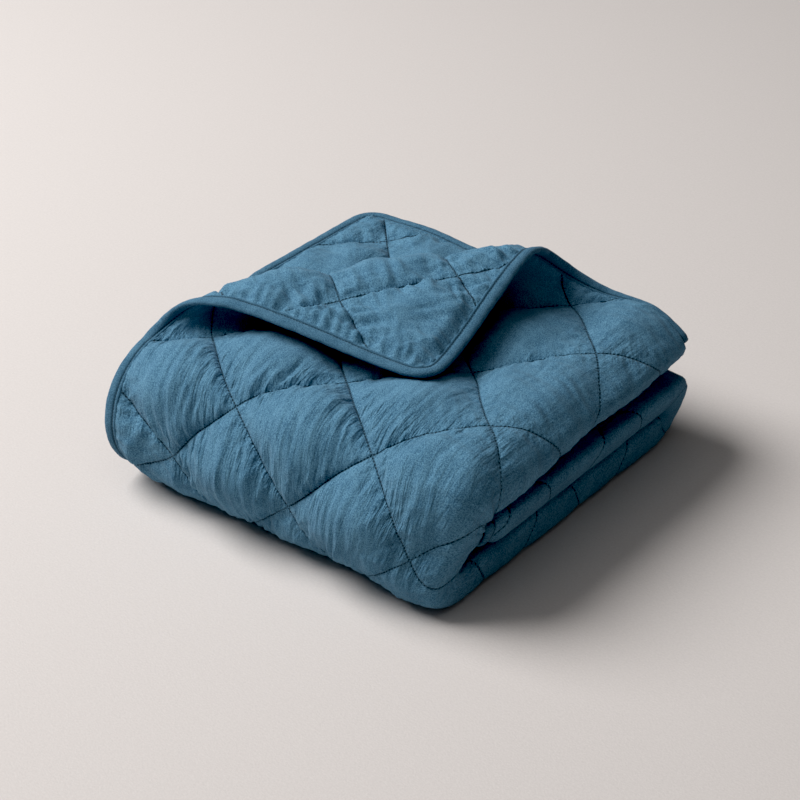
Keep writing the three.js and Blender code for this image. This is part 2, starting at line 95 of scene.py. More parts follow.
# What follows from these: heights and starts of the layers, bends and the flap's fold line
BOTTOM_Z = LOW_PITCH
MIDDLE_Z = 3 * LOW_PITCH + LAYER_GAP
TOP_Z = 4 * LOW_PITCH + 2 * LAYER_GAP + TOP_PITCH
FRONT_RADIUS = (TOP_Z - BOTTOM_Z) / 2
BACK_RADIUS = (MIDDLE_Z - BOTTOM_Z) / 2
FRONT_BEND_Y = FRONT_Y + FRONT_RADIUS + (TOP_PITCH + LOW_PITCH) / 2
BACK_BEND_Y = BACK_Y - BACK_RADIUS - LOW_PITCH
FRONT_QUADRATIC = FRONT_GATHER * (LOW_PITCH - TOP_PITCH) / (4 * np.pi)
FRONT_LINEAR = FRONT_GATHER * (FRONT_RADIUS + TOP_PITCH / 2)
BACK_LINEAR = BACK_RADIUS + LOW_PITCH / 2
FRONT_START = TOP_HEM_Y - FRONT_BEND_Y
FRONT_END = FRONT_START + FRONT_QUADRATIC * np.pi**2 + FRONT_LINEAR * np.pi
BACK_START = FRONT_END + BACK_BEND_Y - FRONT_BEND_Y
BACK_END = BACK_START + BACK_LINEAR * np.pi
LENGTH = BACK_END + BACK_BEND_Y - INNER_END_Y
TOP_ROLL = TOP_PITCH / 2
LEFT_X = ROLL_X - TOP_ROLL - ROLL_CROWN - (HALF_WIDTH - np.pi / 2 * TOP_ROLL)
FLAP_LENGTH = np.hypot(FLAP_BACK_X - LEFT_X, TOP_HEM_Y - FLAP_LEFT_Y)
FLAP_ALONG = np.array((FLAP_BACK_X - LEFT_X, TOP_HEM_Y - FLAP_LEFT_Y)) / FLAP_LENGTH
FLAP_OUT = np.array((-FLAP_ALONG[1], FLAP_ALONG[0]))
PANEL_U = HALF_WIDTH - BINDING_WIDTH
PANEL_START, PANEL_END = BINDING_WIDTH, LENGTH - BINDING_WIDTH
PANEL_CORNER = CORNER_RADIUS - BINDING_WIDTH


def mix(a, b, t):
    return a + (b - a) * t


def ease(t):
    k = np.clip(t, 0, 1)
    return k * k * (3 - 2 * k)


HASH_X, HASH_Y, HASH_SEED, HASH_MIX, HASH_MASK = 374761393, 668265263, 974711, 1274126177, 65535
NOISE_GAIN = 1.6


def noise(x, y, seed):
    """Smooth noise of one unit's grain, about -1 to 1."""
    x, y = np.broadcast_arrays(np.asarray(x, float), np.asarray(y, float))
    x0, y0 = np.floor(x).astype(np.int64), np.floor(y).astype(np.int64)
    fx, fy = x - x0, y - y0

    def corner(i, j):
        h = (x0 + i) * HASH_X + (y0 + j) * HASH_Y + seed * HASH_SEED
        h = (h ^ (h >> 13)) * HASH_MIX
        angle = ((h ^ (h >> 16)) & HASH_MASK) * (2 * np.pi / (HASH_MASK + 1))
        return np.cos(angle) * (fx - i) + np.sin(angle) * (fy - j)

    sx, sy = (t**3 * (t * (t * 6 - 15) + 10) for t in (fx, fy))
    low = mix(corner(0, 0), corner(1, 0), sx)
    high = mix(corner(0, 1), corner(1, 1), sx)
    return NOISE_GAIN * mix(low, high, sy)


def layer_at(v):
    """Where the middle of the folded layer is at v, how far it has turned, and its pitch."""
    run = np.clip(v - FRONT_START, 0, FRONT_END - FRONT_START)
    root = np.sqrt(FRONT_LINEAR**2 + 4 * FRONT_QUADRATIC * run)
    front = np.minimum((root - FRONT_LINEAR) / (2 * FRONT_QUADRATIC), np.pi)
    back = np.clip(v - BACK_START, 0, BACK_END - BACK_START) / BACK_LINEAR
    y = np.select(
        [v < FRONT_START, v < FRONT_END, v < BACK_START, v < BACK_END],
        [
            TOP_HEM_Y - v,
            FRONT_BEND_Y - FRONT_RADIUS * np.sin(front),
            FRONT_BEND_Y + v - FRONT_END,
            BACK_BEND_Y + BACK_RADIUS * np.sin(back),
        ],
        BACK_BEND_Y - (v - BACK_END),
    )
    z = np.where(
        v < BACK_START,
        BOTTOM_Z + FRONT_RADIUS * (1 + np.cos(front)),
        BOTTOM_Z + BACK_RADIUS * (1 - np.cos(back)),
    )
    return y, z, front + back, front / np.pi, mix(TOP_PITCH, LOW_PITCH, front / np.pi)


def past_fold(x, y):
    """How far out a place on the flat top ply is past the line that its corner folds over."""
    return (x - LEFT_X) * FLAP_OUT[0] + (y - FLAP_LEFT_Y) * FLAP_OUT[1]


def flap_at(x, y):
    """How a place on the flat top ply turns and moves with the turned-back corner."""
    along = (x - LEFT_X) * FLAP_ALONG[0] + (y - FLAP_LEFT_Y) * FLAP_ALONG[1]
    out = past_fold(x, y)
    share = np.clip(along / FLAP_LENGTH, -FLAP_OVERRUN, 1 + FLAP_OVERRUN)
    radius = mix(FLAP_LEFT_RADIUS, FLAP_BACK_RADIUS, share)
    run = np.maximum(out + np.pi / 2 * radius, 0)
    turn = np.minimum(run / radius, np.pi)
    past = np.maximum(run - np.pi * radius, 0)
    shift = radius * np.sin(turn) - past - run
    settle = (FLAP_REST_HEIGHT - 2 * radius) * ease(past / FLAP_SETTLE_RUN)
    return turn, shift, radius * (1 - np.cos(turn)) + settle


def flat_x(u, roll):
    """Where u lies on the folded layer, before the corner is turned back."""
    return ROLL_X - roll - ROLL_CROWN - np.maximum(np.abs(u) - np.pi / 2 * roll, 0)


def soft_corner(t, at, rounding):
    """How far t is past a corner, with the corner rounded."""
    past = t - at
    curve = (past + rounding) ** 2 / (4 * rounding)
    return np.where(np.abs(past) < rounding, curve, np.maximum(past, 0))


def kneed_side(t, breadth):
    """The top roll's outer side: its rounded nose at t 0, up a slope, over a knee, flat to t 1."""
    slope = np.hypot(1 - ROLL_KNEE, 1 / breadth)
    knee = slope / (slope + ROLL_KNEE)
    on_flat = soft_corner(t, knee, ROLL_KNEE_ROUNDING)
    rise = (t - on_flat) / knee
    nose = ROLL_NOSE_ROUNDING / 2
    from_nose = soft_corner(t, nose, nose) / (1 - nose)
    flat = soft_corner(from_nose, knee, ROLL_KNEE_ROUNDING) / (1 - knee)
    return 1 - (1 - ROLL_KNEE) * (from_nose - flat * (1 - knee)) / knee - ROLL_KNEE * flat, rise


def place(u, v, w):
    """Folds a place u, v, w up, in metres in the part's frame."""
    y0, z0, turned, front, pitch = layer_at(v)
    roll = pitch / 2
    middle = flat_x(u, roll)
    turn, shift, lift = flap_at(middle, TOP_HEM_Y - v)
    shoulder = mix(ROLL_SHOULDER, ROLL_SHOULDER_BACK, ease(1 - v / ROLL_SHOULDER_RUN))
    on_side = 1 - ease(front / ROLL_KNEE_FADE)
    wide = np.where(u > 0, shoulder * on_side, 0)
    around = np.clip(u / (roll + wide), -np.pi / 2, np.pi / 2)
    square = 1 + ROLL_SQUARENESS * np.sin(2 * around) ** 2
    round_x, round_z = square * np.cos(around), square * np.sin(around)
    on_top = (u >= np.pi / 2 * (roll + wide)) & (v < FRONT_END)
    reach = np.where(on_top, shift - w * np.sin(turn), 0)
    width = roll + np.pi / 2 * wide
    tuck = 1 - ROLL_TUCK / (width + ROLL_CROWN)
    kneed = np.where(u > 0, on_side, 0)
    knee_x, knee_z = kneed_side(around / (np.pi / 2), (width + ROLL_CROWN) / (roll + ROLL_CROWN))
    side_x, side_z = mix(round_x, knee_x, kneed), mix(round_z, knee_z, kneed)
    across = np.minimum(middle, ROLL_X - ROLL_CROWN - width) + (width + w) * tuck * side_x
    x = np.where(on_top, middle + reach * FLAP_OUT[0], across)
    out = np.where(on_top, roll + lift + w * np.cos(turn), (roll + w) * side_z)
    backward = reach * FLAP_OUT[1]
    y = y0 - np.sin(turned) * out + np.cos(turned) * backward
    z = z0 + np.cos(turned) * out + np.sin(turned) * backward
    under = ease((UNDER_PLY_FADE - np.sin(around)) / (1 + UNDER_PLY_FADE))
    pull = ease((middle - HEM_PULL_FROM) / HEM_PULL_RUN) * ease(1 - v / HEM_PULL_DEPTH)
    back_share = np.maximum(1 - v / FRONT_START, 0)
    x = x + UNDER_PLY_X * under * ease(2 * back_share)
    y = y + UNDER_PLY_Y * under * back_share + HEM_PULL * pull * (1 - under)
    beyond = past_fold(middle, TOP_HEM_Y - v)
    rise = ease(beyond / UNDER_PLY_RISE_RUN) * under * np.where(v < FRONT_START, 1, 0)
    to_left = np.clip((UNDER_PLY_RISE_FROM - middle) / UNDER_PLY_RISE_WIDTH, 0, 1)
    z = z + UNDER_PLY_RISE * rise * to_left
    droop = ease((middle - HEM_DROOP_FROM) / HEM_DROOP_RUN) * ease(1 - v / HEM_DROOP_DEPTH)
    z = z - HEM_DROOP * droop * (1 - under)
    x = x - HEM_NARROW * ease(1 - v / HEM_NARROW_DEPTH) * ease(1 - np.abs(u) / HEM_NARROW_REACH)
    drawn = np.clip((ROLL_X - middle) / HALF_WIDTH, 0, 1) * ease(turned / (LOW_DRAW_TURN * np.pi))
    x = x + LOW_LAYER_DRAW * drawn * ease((HALF_WIDTH - np.abs(u)) / LOW_DRAW_RIM)
    on_bend = np.sin(np.clip(turned, 0, np.pi)) ** 2
    by_roll = ease(1 - np.abs(u) / FRONT_END_RUN)
    x = x - FRONT_ROLL_DRAW * on_bend * by_roll
    bulge = np.sin(2 * np.clip(turned - np.pi / 2, 0, np.pi / 2))
    bulge_share = ease((middle - FRONT_BULGE_FROM) / FRONT_BULGE_RUN)
    y = y - bulge * mix(FRONT_BULGE_LEFT, FRONT_BULGE_RIGHT, bulge_share)
    y = y + FRONT_END_RECEDE * on_bend * by_roll
    high = ease((z - LEAN_FROM) / (TOP_Z - LEAN_FROM))
    upper = (1 - under) * ease(1 - turned / (UPPER_PLY_RUN * np.pi))
    right = SAG_RIGHT * ease((x - SAG_RIGHT_FROM) / SAG_RIGHT_RUN) * (1 - UPPER_PLY_RELIEF * upper)
    left = SAG_LEFT * ease((-x - SAG_LEFT_FROM) / SAG_LEFT_RUN)
    z = np.maximum(z, 0) * (1 - right - left)
    to_right = np.clip(0.5 + x / (2 * ROLL_X), 0, 1)
    taper = mix(LOW_TAPER_LEFT, LOW_TAPER_RIGHT, to_right) * (1 - high)
    x = x * (1 - taper) + mix(LEAN_LEFT, LEAN_X, to_right) * high
    points = np.stack((x, y + LEAN_Y * high, z), -1)
    return (points + FRAME_SHIFT) * MM


def rim_distance(u, v):
    return np.minimum(PANEL_U - np.abs(u), np.minimum(v - PANEL_START, PANEL_END - v))


def seam_frame(u, v):
    """The distances across the two directions of seams, in millimetres, 0 on a seam."""
    a, b = u - CROSSING_U, v - CROSSING_V
    return (a + b) / np.sqrt(2), (a - b) / np.sqrt(2)


def off_seams(u, v):
    """How far a place is from the nearest seam in each of the two directions, in millimetres."""
    return [np.abs(t - SQUARE * np.round(t / SQUARE)) for t in seam_frame(u, v)]


# How strongly the cloth is drawn into streaks: near the front bend, by the seams and in patches
DRAWN_LEAST, DRAWN_BEFORE, DRAWN_BUILD, DRAWN_AFTER, DRAWN_FADE = 0.4, 90.0, 150.0, 60.0, 120.0
DRAWN_OPEN, DRAWN_BY_SEAM, DRAWN_SEAM_REACH = 0.4, 1.2, 20.0
PATCH_MIDDLE, PATCH_SWING, PATCH_SIZE, PATCH_LIMITS = 0.9, 0.7, 60.0, (0.35, 1.6)


def drawn_amount(u, v):
    """How strongly the cloth is drawn into streaks along its length: most on the front bend."""
    coming = ease((v - FRONT_START + DRAWN_BEFORE) / DRAWN_BUILD)
    bend = DRAWN_LEAST + coming * ease((FRONT_END + DRAWN_AFTER - v) / DRAWN_FADE)
    near = DRAWN_OPEN + DRAWN_BY_SEAM * np.exp(-np.minimum(*off_seams(u, v)) / DRAWN_SEAM_REACH)
    patch = PATCH_MIDDLE + PATCH_SWING * noise(u / PATCH_SIZE, v / PATCH_SIZE, 34)
    return bend * near * np.clip(patch, *PATCH_LIMITS)


# Fine folds in the cloth. The puckers along a seam or the rim have a ripple's length, how far it
# runs and its height, on the face and on the reverse. Folds over the front bend and on the rolls
# come next, then soft lumps. A lane sets one seam's, side's or ply's ripples apart from another's.
PUCKER = {"face": (9.0, 18.0, 3.2), "reverse": (12.0, 30.0, 7.5)}
PUCKER_SKEW, PUCKER_SKEW_RUN, PUCKER_CHANGE = 0.45, 40.0, 60.0
FINE_PUCKER = {"share": 0.6, "size": 0.5, "change": 40.0}
PUCKER_START, CROSSING_CLEAR, SEAM_CLEAR = 3.5, 9.0, 5.0
SEAM_LANE, SEAM_SIDE_LANE, CLOTH_SIDE_LANE = 7.31, 2.3, 31.7
BEND_FOLD = {"ripple": 10.0, "run": 75.0, "height": 2.8, "lane": 9.1}
FINE_BEND_FOLD = {"ripple": 6.2, "run": 60.0, "share": 0.5, "lane": 5.3}
BEND_WANDER, BEND_WANDER_RUN = 9.0, 55.0
ROLL_FOLD = {"ripple": 10.0, "run": 55.0, "height": 3.0, "lane": 3.7, "reach": 150.0}
ROLL_WANDER, ROLL_WANDER_RUN = 9.0, 50.0
LUMP = {"ripple": 40.0, "height": 2.6, "on_reverse": 2.0}
RIM_PUCKER = {"face": (7.0, 15.0, 2.4), "reverse": (9.0, 24.0, 7.0)}
RIM_PUCKER_CHANGE, RIM_PUCKER_START, RIM_CLEAR = 45.0, 3.0, 12.0
RIM_SIDE_LANE, RIM_PLY_LANE = 3.3, 5.9
# Where the folds are lower: on the reverse before it has curled over and on the inner ply, on the
# underside that the stack presses, and on the rolls
FLAT_REVERSE, CURL_FROM, CURL_RUN, INNER_REVERSE = 0.25, 0.7, 0.3, 0.5
PRESSED_BY, PRESSED_FROM, PRESSED_RUN = 0.7, 0.72, 0.25
ROLL_CALM, ROLL_CALM_REACH, ROLL_CALM_RUN = 0.45, 1.5, 50.0


def pucker_sizes(face, sizes):
    """A pucker's length of ripple, run and height, on the face or the reverse."""
    return (np.where(face, *pair) for pair in zip(sizes["face"], sizes["reverse"]))


def fine_folds(u, v, face):
    """The ripples of the cloth: along the seams, round the bends and along the rim."""
    side = np.where(face, 1, 2)
    turn = flap_at(flat_x(u, TOP_ROLL), TOP_HEM_Y - v)[0]
    curled = mix(FLAT_REVERSE, 1.0, ease((turn / np.pi - CURL_FROM) / CURL_RUN))
    lying = np.where(face, 1.0, np.where(u > 0, curled, INNER_REVERSE))
    ripple_size, run, rise = pucker_sizes(face, PUCKER)
    fine_size = FINE_PUCKER["size"] * ripple_size
    rise = rise * lying
    p, q = seam_frame(u, v)
    d = off_seams(u, v)
    height = 0
    for k, (across, along) in enumerate(((p, q), (q, p))):
        line = np.round(across / SQUARE)
        off = across - line * SQUARE
        lane = line * SEAM_LANE + np.sign(off) * SEAM_SIDE_LANE + side * CLOTH_SIDE_LANE
        skew = along + PUCKER_SKEW * np.abs(off) * noise(along / PUCKER_SKEW_RUN, lane, 11 + k)
        ripple = noise(skew / ripple_size, lane + d[k] / PUCKER_CHANGE, 21 + k)
        fine = noise(skew / fine_size, lane + d[k] / FINE_PUCKER["change"], 23 + k)
        ripple = ripple + FINE_PUCKER["share"] * fine
        reach = (1 - np.exp(-d[k] / PUCKER_START)) * np.exp(-d[k] / run)
        clear = 1 - np.exp(-d[1 - k] / CROSSING_CLEAR)
        height = height + rise * ripple * reach * clear
    open_cloth = 1 - np.exp(-np.minimum(*d) / SEAM_CLEAR)
    bent = u + BEND_WANDER * noise(u / BEND_WANDER_RUN, v / BEND_WANDER_RUN, 31)
    ripple = noise(bent / BEND_FOLD["ripple"], v / BEND_FOLD["run"] + side * BEND_FOLD["lane"], 32)
    fine_along = v / FINE_BEND_FOLD["run"] + side * FINE_BEND_FOLD["lane"]
    fine = noise(bent / FINE_BEND_FOLD["ripple"], fine_along, 33)
    ripple = ripple + FINE_BEND_FOLD["share"] * fine
    height = height + BEND_FOLD["height"] * ripple * drawn_amount(u, v) * open_cloth
    roll = ease(1 - np.abs(u) / ROLL_FOLD["reach"])
    bent = v + ROLL_WANDER * noise(u / ROLL_WANDER_RUN, v / ROLL_WANDER_RUN, 41)
    ripple = noise(bent / ROLL_FOLD["ripple"], u / ROLL_FOLD["run"] + ROLL_FOLD["lane"], 42)
    height = height + ROLL_FOLD["height"] * ripple * roll * open_cloth
    lump = noise(u / LUMP["ripple"], v / LUMP["ripple"], 51)
    height = height + np.where(face, 1.0, LUMP["on_reverse"]) * LUMP["height"] * lump * open_cloth
    rim = rim_distance(u, v)
    along = np.where(PANEL_U - np.abs(u) < np.minimum(v - PANEL_START, PANEL_END - v), v, u)
    ripple_size, run, rise = pucker_sizes(face, RIM_PUCKER)
    lane = rim / RIM_PUCKER_CHANGE + side * RIM_SIDE_LANE + np.sign(u) * RIM_PLY_LANE
    ripple = noise(along / ripple_size, lane, 61)
    reach = (1 - np.exp(-rim / RIM_PUCKER_START)) * np.exp(-np.maximum(rim, 0) / run)
    height = height * ease(rim / RIM_CLEAR) + rise * lying * ripple * reach
    turned = layer_at(v)[2]
    pressed = 1 - PRESSED_BY * ease((turned / np.pi - PRESSED_FROM) / PRESSED_RUN)
    calm = 1 - ROLL_CALM * ease(ROLL_CALM_REACH - np.abs(u) / ROLL_CALM_RUN)
    return height * pressed * calm


def swell(u, v, face):
    """How far the ply swells at u, v on its face or its back, without the fine folds."""
    falling, rising = (np.abs(np.sin(np.pi * t / SQUARE)) for t in seam_frame(u, v))
    _, _, _, front, pitch = layer_at(v)
    roll = pitch / 2
    outer = ease(0.5 + u / (np.pi * roll))

    def crown_of(layer):
        sizes = [CROWNS[layer][side] for side in ("face", "back")]
        return np.where(face, *(mix(inner, outer_size, outer) for outer_size, inner in sizes))

    crown = mix(crown_of("top"), crown_of("low"), front)
    turn = flap_at(flat_x(u, roll), TOP_HEM_Y - v)[0]
    on_top = (u > np.pi / 2 * roll) & (v < FRONT_END)
    flap_crown = np.where(face, FLAP_FACE_CROWN, FLAP_BACK_CROWN)
    crown = np.where(on_top, mix(crown, flap_crown, turn / np.pi), crown)
    rolled = np.where(face, ease((ROLL_REACH - np.abs(u)) / ROLL_FADE), 0)
    inner_seam = mix(*(ROLL_SEAM_HALF_THICKNESS["inner"][layer] for layer in ("top", "low")), front)
    roll_seam = mix(inner_seam, ROLL_SEAM_HALF_THICKNESS["outer"], outer)
    sunk = outer * np.where(on_top, 1 - turn / np.pi, 1)
    face_seam = mix(SEAM_HALF_THICKNESS["flap"], SEAM_HALF_THICKNESS["top"], sunk)
    lowered = ease((front - LOW_SEAM_FROM) / LOW_SEAM_RUN)
    face_seam = mix(face_seam, SEAM_HALF_THICKNESS["low"], lowered)
    backs = (SEAM_HALF_THICKNESS[name] for name in ("back", "back_of_top"))
    back_seam = mix(*backs, sunk * (1 - front))
    seam = mix(np.where(face, face_seam, back_seam), roll_seam, rolled)
    full = mix(seam, crown, (falling * rising) ** np.where(face, PUFF_POWER, REVERSE_PUFF_POWER))
    limit = np.where(face, mix(crown, roll, ease(front)), crown)
    return mix(RIM_HALF_THICKNESS, np.minimum(full, limit), ease(rim_distance(u, v) / RIM_TAPER))


# How far the seams are drawn aside across and along the cloth: free of the rim, on the outer ply
DRIFT_RIM, DRIFT_PLY_FROM, DRIFT_PLY_RUN = 60.0, -60.0, 100.0
DRIFT_ACROSS = {"least": 6.0, "at_roll": 10.0, "roll_reach": 140.0, "fade": 160.0}
DRIFT_ALONG = {"at_roll": -12.0, "most": 8.0, "fade": 150.0}
DRIFT_ALONG_TOP = {"rise": 20.0, "start": 100.0, "run": 250.0}
DRIFT_ALONG_FRONT = {"rise": 14.0, "start": 340.0, "run": 160.0}
SEAM_WANDER, SEAM_WANDER_RUN = 2.2, 85.0


def seam_drift(u, v):
    """The seams aren't dead straight: how far each place is drawn aside in the cloth."""
    free = ease(rim_distance(u, v) / DRIFT_RIM)
    outer = ease((u - DRIFT_PLY_FROM) / DRIFT_PLY_RUN)
    fade = DRIFT_ACROSS["fade"]
    by_roll = DRIFT_ACROSS["at_roll"] * ease(1 - u / DRIFT_ACROSS["roll_reach"])
    drift_u = outer * ease((FRONT_START + fade - v) / fade) * (DRIFT_ACROSS["least"] + by_roll)
    along = DRIFT_ALONG["at_roll"]
    for at, part in ((u, DRIFT_ALONG_TOP), (v, DRIFT_ALONG_FRONT)):
        along = along + part["rise"] * ease((at - part["start"]) / part["run"])
    along = np.minimum(along, DRIFT_ALONG["most"])
    drift_v = along * outer * ease((FRONT_END - v) / DRIFT_ALONG["fade"])
    at_u, at_v = u / SEAM_WANDER_RUN, v / SEAM_WANDER_RUN
    drawn_u = u + free * (drift_u + SEAM_WANDER * noise(at_u, at_v, 71))
    return drawn_u, v + free * (drift_v + SEAM_WANDER * noise(at_u, at_v, 72))


def surface(u, v, face, lift=0.0):
    """A place on the face or the back of the panel, lift millimetres off the cloth."""
    height = swell(u, v, face) + fine_folds(u, v, face) + lift
    drawn_u, drawn_v = seam_drift(u, v)
    return place(drawn_u, drawn_v, np.where(face, height, -height))


# The panel's mesh: cells of a quarter of a square's diagonal, split finely where the cloth shows.
# The reverse shows from a little before the corner's fold line, and the face past it is hidden.
CELL = QUILT_DIAGONAL / 4
STEPS = 16
SPLIT = {"hidden": 2, "underside": 4, "back": 8, "shown": 16}
RIM_SPLIT = 4
REVERSE_SHOWN_FROM, FACE_HIDDEN_FROM = -95.0, 75.0


def cell_edges(start, end, offset):
    edges = [start, *np.arange(offset + CELL, end, CELL), end]
    return np.array([e for k, e in enumerate(edges) if k == 0 or e - edges[0] > CELL / 4])


column_edges = cell_edges(0.0, PANEL_U, 0.0)
row_edges = cell_edges(PANEL_START, PANEL_END, CROSSING_V % CELL)
columns, rows = len(column_edges) - 1, len(row_edges) - 1


def line_at(edges, step):
    cell = np.minimum(np.asarray(step) // STEPS, len(edges) - 2)
    return mix(edges[cell], edges[cell + 1], step / STEPS - cell)


def rounded(u, v):
    """Draws the square grid in to the panel's rounded corners."""
    top = v < (PANEL_START + PANEL_END) / 2
    way = np.where(top, -1, 1)
    centre_u = PANEL_U - PANEL_CORNER
    centre_v = np.where(top, PANEL_START + PANEL_CORNER, PANEL_END - PANEL_CORNER)
    a = (np.abs(u) - centre_u) / PANEL_CORNER
    b = way * (v - centre_v) / PANEL_CORNER
    corner = (a > 0) & (b > 0)
    disc_a = a * np.sqrt(np.clip(1 - b * b / 2, 0, 1))
    disc_b = b * np.sqrt(np.clip(1 - a * a / 2, 0, 1))
    u_in = np.where(corner, np.sign(u) * (centre_u + disc_a * PANEL_CORNER), u)
    return u_in, np.where(corner, centre_v + way * disc_b * PANEL_CORNER, v)


def splits(column, row, face):
    """How many parts a cell splits into, across and along."""
    outer = column >= 0
    ring = column if outer else -1 - column
    start, end = row_edges[row], row_edges[row + 1]
    middle_u, middle_v = column_edges[ring : ring + 2].mean(), (start + end) / 2
    out = past_fold(flat_x(middle_u, TOP_ROLL), TOP_HEM_Y - middle_v)
    on_top = start < FRONT_END
    if face and (ring < 2 or (outer and start < FRONT_END + CELL)):
        count = SPLIT["shown"]
    elif face and outer:
        bend = end > BACK_START - CELL and start < BACK_END + CELL
        count = SPLIT["back"] if bend else SPLIT["underside"]
    elif not face and on_top and out > REVERSE_SHOWN_FROM:
        count = SPLIT["shown"]
    else:
        count = SPLIT["hidden"]
    if face and outer and on_top and out > FACE_HIDDEN_FROM:
        count = SPLIT["back"]
    across = count if ring < columns - 1 else max(count // RIM_SPLIT, 1)
    return across, count


def panel_grid():
    """The panel's vertices as grid steps and sides, and its quads and triangles."""
    leaves, corners = {}, {}
    for face in (True, False):
        leaves[face], corners[face] = [], set()
        for column in range(-columns, columns):
            for row in range(rows):
                across, along = splits(column, row, face)
                wide, tall = STEPS // across, STEPS // along
                for i in range(column * STEPS, (column + 1) * STEPS, wide):
                    for j in range(row * STEPS, (row + 1) * STEPS, tall):
                        leaves[face].append((i, j, i + wide, j + tall))
                        corners[face].update((a, b) for a in (i, i + wide) for b in (j, j + tall))
    side, end = columns * STEPS, rows * STEPS
    on_rim = {(i, j) for i, j in corners[True] | corners[False] if abs(i) == side or j in (0, end)}
    index, quads, triangles = {}, [], []

    def vertex(i, j, face):
        return index.setdefault((i, j, face), len(index))

    def outline(left, low, right, high, known):
        around = [(i, low) for i in range(left, right)] + [(right, j) for j in range(low, high)]
        around += [(i, high) for i in range(right, left, -1)]
        around += [(left, j) for j in range(high, low, -1)]
        return [at for at in around if at in known]

    for face in (True, False):
        known = corners[face] | on_rim
        for leaf in leaves[face]:
            ring = [vertex(i, j, face) for i, j in outline(*leaf, known)]
            if not face:
                ring.reverse()
            if len(ring) == 4:
                quads.append(ring)
            else:
                middle = vertex((leaf[0] + leaf[2]) // 2, (leaf[1] + leaf[3]) // 2, face)
                triangles += [(a, b, middle) for a, b in zip(ring, ring[1:] + ring[:1])]
    rim = outline(-side, 0, side, end, on_rim)
    for here, after in zip(rim, rim[1:] + rim[:1]):
        a, b = vertex(*after, True), vertex(*here, True)
        c, d = vertex(*here, False), vertex(*after, False)
        triangles += [(a, b, d), (b, c, d)]
    return np.array(list(index)), np.array(quads), triangles


def mesh_object(name, points, faces, uv):
    """A smooth mesh with its place in the cloth, in metres, as its texture coordinates."""
    mesh = bpy.data.meshes.new(name)
    faces = np.asarray(faces)
    count, corners = faces.shape
    mesh.vertices.add(len(points))
    mesh.vertices.foreach_set("co", np.asarray(points, np.float32).ravel())
    mesh.loops.add(count * corners)
    mesh.loops.foreach_set("vertex_index", faces.astype(np.int32).ravel())
    mesh.polygons.add(count)
    mesh.polygons.foreach_set("loop_start", np.arange(0, count * corners, corners, dtype=np.int32))
    mesh.polygons.foreach_set("use_smooth", np.ones(count, bool))
    mesh.update(calc_edges=True)
    mesh.validate()
    layer = mesh.uv_layers.new(name="cloth")
    layer.data.foreach_set("uv", (np.asarray(uv) * MM)[faces.ravel()].astype(np.float32).ravel())
    made = bpy.data.objects.new(name, mesh)
    bpy.context.scene.collection.objects.link(made)
    return made


steps, quads, fans = panel_grid()
grid_u = np.sign(steps[:, 0]) * line_at(column_edges, np.abs(steps[:, 0]))
panel_u, panel_v = rounded(grid_u, line_at(row_edges, steps[:, 1]))
panel_face = steps[:, 2].astype(bool)
wave_p, wave_q = (
    np.abs(np.sin(np.pi * t / SQUARE))
    for t in seam_frame(panel_u[quads].mean(1), panel_v[quads].mean(1))
)
falling_cut = (wave_p < wave_q) == panel_face[quads[:, 0]]
cut_quads = np.where(
    falling_cut[:, None, None],
    quads[:, [[0, 1, 3], [1, 2, 3]]],
    quads[:, [[0, 1, 2], [0, 2, 3]]],
).reshape(-1, 3)
panel = mesh_object(
    "duvet_panel",
    surface(panel_u, panel_v, panel_face),
    np.concatenate((cut_quads, np.array(fans))),
    np.stack((panel_u, panel_v), -1),
)
panel.data.attributes.new("drawn", "FLOAT", "POINT").data.foreach_set(
    "value", drawn_amount(panel_u, panel_v).astype(np.float32)
)


def node(tree, kind, inputs=(), **settings):
    """A shader node with its settings; each input takes a value or another node's output."""
    made = tree.nodes.new(kind)
    for name, value in settings.items():
        setattr(made, name, value)
    for name, value in dict(inputs).items():
        if isinstance(value, bpy.types.NodeSocket):
            tree.links.new(value, made.inputs[name])
        else:
            made.inputs[name].default_value = value
    return made


def math(tree, operation, *values):
    """One step of arithmetic; each value is a number or another node's output."""
    return node(tree, "ShaderNodeMath", dict(enumerate(values)), operation=operation).outputs[0]


GRAIN_ROUGHNESS, GRAIN_MIDDLE = 0.6, 0.5


def grain(tree, place_in_cloth, scale, detail):
    """Noise in the cloth with so many grains to the metre across, along."""
    at = node(tree, "ShaderNodeMapping", {"Vector": place_in_cloth, "Scale": (*scale, 1.0)})
    values = {"Vector": at.outputs["Vector"], "Scale": 1.0, "Detail": detail}
    values["Roughness"] = GRAIN_ROUGHNESS
    return node(tree, "ShaderNodeTexNoise", values).outputs["Fac"]


def blend(tree, share, low, high):
    """A colour between two; each is a colour with its alpha or another node's output."""
    sockets = {0: share, 6: low, 7: high}  # the factor and the two colours
    return node(tree, "ShaderNodeMix", sockets, data_type="RGBA", clamp_factor=True).outputs[2]


# The brushed weave: the nap, flecks in it, broad patches and a cross weave, each with its grains to
# the metre across and along, its detail, its part in the shade and its height in metres
WEAVE_GRAINS = (
    {"scale": (720.0, 400.0), "detail": 3.0, "shade": 2.4, "height": 0.00025},
    {"scale": (900.0, 900.0), "detail": 3.0, "shade": 4.6, "height": 0.0003},
    {"scale": (46.0, 28.0), "detail": 3.0, "shade": 1.1, "height": 0.0},
    {"scale": (190.0, 110.0), "detail": 2.0, "shade": 0.9, "height": 0.0002},
)
WEAVE_SHADE_START = -4.0


